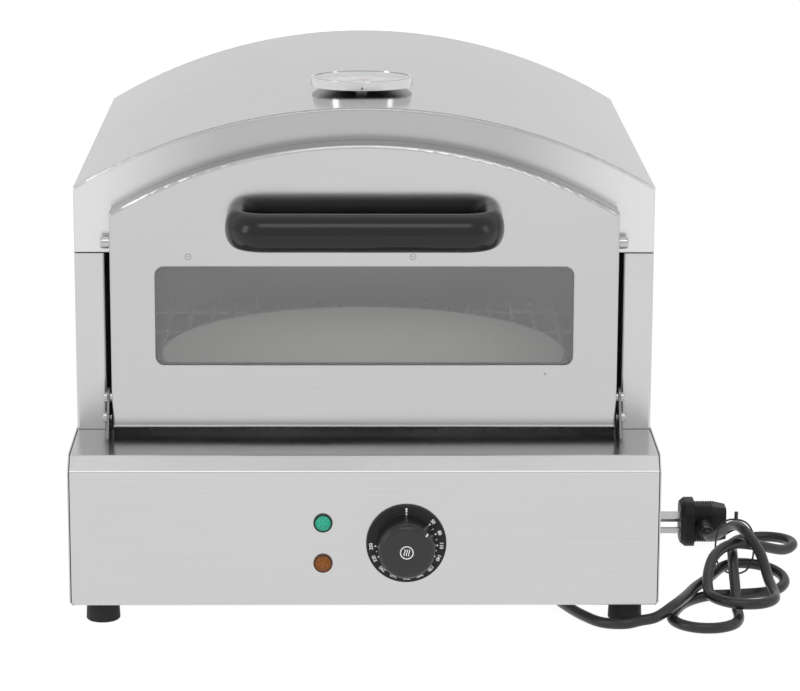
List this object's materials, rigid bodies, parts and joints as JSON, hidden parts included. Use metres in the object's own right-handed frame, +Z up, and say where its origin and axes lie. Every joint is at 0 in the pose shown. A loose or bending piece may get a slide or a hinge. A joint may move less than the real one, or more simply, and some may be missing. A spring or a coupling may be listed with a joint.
{
  "type": "countertop pizza oven",
  "caption": "Countertop electric pizza oven with an arched roof, a drop-down glazed door, a control base and a supply cord tied in loops.",
  "frame": {"origin": "on the floor under the middle of the oven", "axes": "+Z up, the door and the controls towards -Y, +X to the right as seen from the front"},
  "size_m": [0.6087, 0.6721, 0.4215],
  "materials": {
    "body_steel": "finely brushed stainless sheet",
    "inner_steel": "plain mill-finished stainless sheet",
    "zinc_steel": "galvanised sheet",
    "foot_rubber": "black moulded rubber",
    "fixing_steel": "bright turned steel",
    "dial_black": "black with white marks",
    "knob_black": "dark moulded plastic",
    "handle_black": "smooth dark bakelite",
    "thermostat_body": "moulded switch housing",
    "bulb_copper": "drawn copper",
    "lens_green": "clear green plastic",
    "lens_orange": "clear orange plastic",
    "lamp_black": "black lamp housing",
    "terminal_cream": "glazed ceramic block",
    "wool": "mineral wool blanket",
    "element_steel": "dark heat-tinted sheath",
    "rack_wire": "plated wire",
    "stone": "fired stoneware",
    "window_glass": "clear toughened glass",
    "gauge_rim": "polished stainless rim",
    "gauge_window": "clear flat glass",
    "gauge_card": "white card with black marks",
    "gauge_red": "red painted pointer",
    "cord_pvc": "dark grey flexible sheath",
    "tie_wire": "black coated wire",
    "plug_pvc": "dark grey moulded plug",
    "blade_metal": "nickel-plated brass"
  },
  "bodies": {
    "oven": {"base_front": "body_steel", "base_side_left": "body_steel", "base_side_right": "body_steel", "base_floor": "zinc_steel", "base_back": "body_steel", "foot_front_left": "foot_rubber", "foot_front_right": "foot_rubber", "foot_rear_left": "foot_rubber", "foot_rear_right": "foot_rubber", "foot_fixings": "zinc_steel", "dial_ring": "dial_black", "thermostat": "thermostat_body", "thermostat_bulb": "bulb_copper", "green_lens": "lens_green", "orange_lens": "lens_orange", "lamp_bodies": "lamp_black", "terminal_block": "terminal_cream", "hood_shell": "body_steel", "hood_front": "body_steel", "hood_back": "body_steel", "side_wall_left": "body_steel", "side_wall_right": "body_steel", "rear_panel": "body_steel", "panel_screws": "fixing_steel", "insulation": "wool", "cavity_liner": "inner_steel", "cavity_pan": "inner_steel", "upper_element": "element_steel", "lower_element": "element_steel", "element_hangers": "inner_steel", "hinge_plate_left": "zinc_steel", "hinge_plate_right": "zinc_steel", "hinge_rivets": "fixing_steel", "gauge_case": "gauge_rim", "gauge_glass": "gauge_window", "gauge_dial": "gauge_card", "gauge_stem": "fixing_steel", "gauge_nut": "fixing_steel", "cord_gland": "cord_pvc", "power_cord": "cord_pvc", "cord_hank": "cord_pvc", "cord_tie": "tie_wire", "plug_body": "plug_pvc", "plug_blades": "blade_metal", "plug_relief": "cord_pvc"},
    "door": {"door_outer": "body_steel", "door_inner": "inner_steel", "door_glass": "window_glass", "glass_retainer": "inner_steel", "door_handle": "handle_black", "handle_screws": "fixing_steel", "door_studs": "fixing_steel", "hinge_pins": "fixing_steel"},
    "knob": {"control_knob": "knob_black", "thermostat_shaft": "fixing_steel"},
    "rack": {"wire_rack": "rack_wire"},
    "stone": {"pizza_stone": "stone"},
    "pointer": {"gauge_pointer": "gauge_red"}
  },
  "joints": [
    {"name": "door_hinge", "type": "hinge", "parent": "oven", "child": "door", "pos_m": [0, -0.188, 0.1745], "axis": [1, 0, 0], "range_deg": [0, 90]},
    {"name": "knob_turn", "type": "hinge", "parent": "oven", "child": "knob", "pos_m": [0.0332, -0.266, 0.0743], "axis": [0, 1, 0], "range_deg": [-48, 218]},
    {"name": "rack_lift", "type": "slide", "parent": "oven", "child": "rack", "axis": [0, 0, 1], "range_m": [0, 0.03]},
    {"name": "stone_lift", "type": "slide", "parent": "rack", "child": "stone", "axis": [0, 0, 1], "range_m": [0, 0.04]},
    {"name": "pointer_turn", "type": "hinge", "parent": "oven", "child": "pointer", "pos_m": [-0.0019, -0.065, 0.412], "axis": [0, 0.0349, 0.9994], "range_deg": [-270, 0]}
  ]
}
